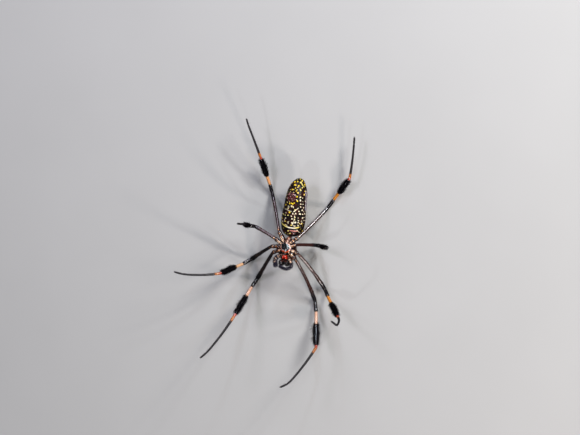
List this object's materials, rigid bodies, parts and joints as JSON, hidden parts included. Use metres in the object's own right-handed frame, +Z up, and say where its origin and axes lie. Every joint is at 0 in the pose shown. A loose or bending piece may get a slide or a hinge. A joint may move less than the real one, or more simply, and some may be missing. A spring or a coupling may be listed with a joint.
{
  "type": "golden silk orb weaver",
  "caption": "Still life-size model of a golden silk orb weaver spider lying belly up, long tufted legs spread and resting on their knees.",
  "frame": {"origin": "centre of the bounding box on the floor under the spider", "axes": "+Z up, head towards -Y, abdomen towards +Y, the animal's right side towards +X, belly facing up"},
  "size_m": [0.0506, 0.072, 0.0192],
  "materials": {
    "shell_dark": "glossy blackish shell",
    "carapace": "dark shell under short silvery hair",
    "abdomen": "satin maroon-black skin with yellow and cream spots",
    "red_shell": "glossy red",
    "leg_brown": "glossy dark brown",
    "leg_banded": "orange and black bands with black bristles",
    "leg_black": "glossy black"
  },
  "bodies": {
    "root": {"abdomen": "abdomen", "cephalothorax": "carapace", "chelicera_left": "shell_dark", "chelicera_right": "shell_dark", "leg_1_left_coxa": "leg_brown", "leg_1_left_femur": "leg_brown", "leg_1_left_metatarsus": "leg_banded", "leg_1_left_patella": "leg_black", "leg_1_left_tarsus": "leg_black", "leg_1_left_tibia": "leg_banded", "leg_1_right_coxa": "leg_brown", "leg_1_right_femur": "leg_brown", "leg_1_right_metatarsus": "leg_banded", "leg_1_right_patella": "leg_black", "leg_1_right_tarsus": "leg_black", "leg_1_right_tibia": "leg_banded", "leg_2_left_coxa": "leg_brown", "leg_2_left_femur": "leg_brown", "leg_2_left_metatarsus": "leg_banded", "leg_2_left_patella": "leg_black", "leg_2_left_tarsus": "leg_black", "leg_2_left_tibia": "leg_banded", "leg_2_right_coxa": "leg_brown", "leg_2_right_femur": "leg_brown", "leg_2_right_metatarsus": "leg_banded", "leg_2_right_patella": "leg_black", "leg_2_right_tarsus": "leg_black", "leg_2_right_tibia": "leg_banded", "leg_3_left_coxa": "leg_brown", "leg_3_left_femur": "leg_brown", "leg_3_left_metatarsus": "leg_banded", "leg_3_left_patella": "leg_black", "leg_3_left_tarsus": "leg_black", "leg_3_left_tibia": "leg_banded", "leg_3_right_coxa": "leg_brown", "leg_3_right_femur": "leg_brown", "leg_3_right_metatarsus": "leg_banded", "leg_3_right_patella": "leg_black", "leg_3_right_tarsus": "leg_black", "leg_3_right_tibia": "leg_banded", "leg_4_left_coxa": "leg_brown", "leg_4_left_femur": "leg_brown", "leg_4_left_metatarsus": "leg_banded", "leg_4_left_patella": "leg_black", "leg_4_left_tarsus": "leg_black", "leg_4_left_tibia": "leg_banded", "leg_4_right_coxa": "leg_brown", "leg_4_right_femur": "leg_brown", "leg_4_right_metatarsus": "leg_banded", "leg_4_right_patella": "leg_black", "leg_4_right_tarsus": "leg_black", "leg_4_right_tibia": "leg_banded", "mouthparts": "red_shell", "palp_left": "shell_dark", "palp_right": "shell_dark", "pedicel": "leg_brown", "spinnerets": "red_shell"}
  },
  "joints": []
}
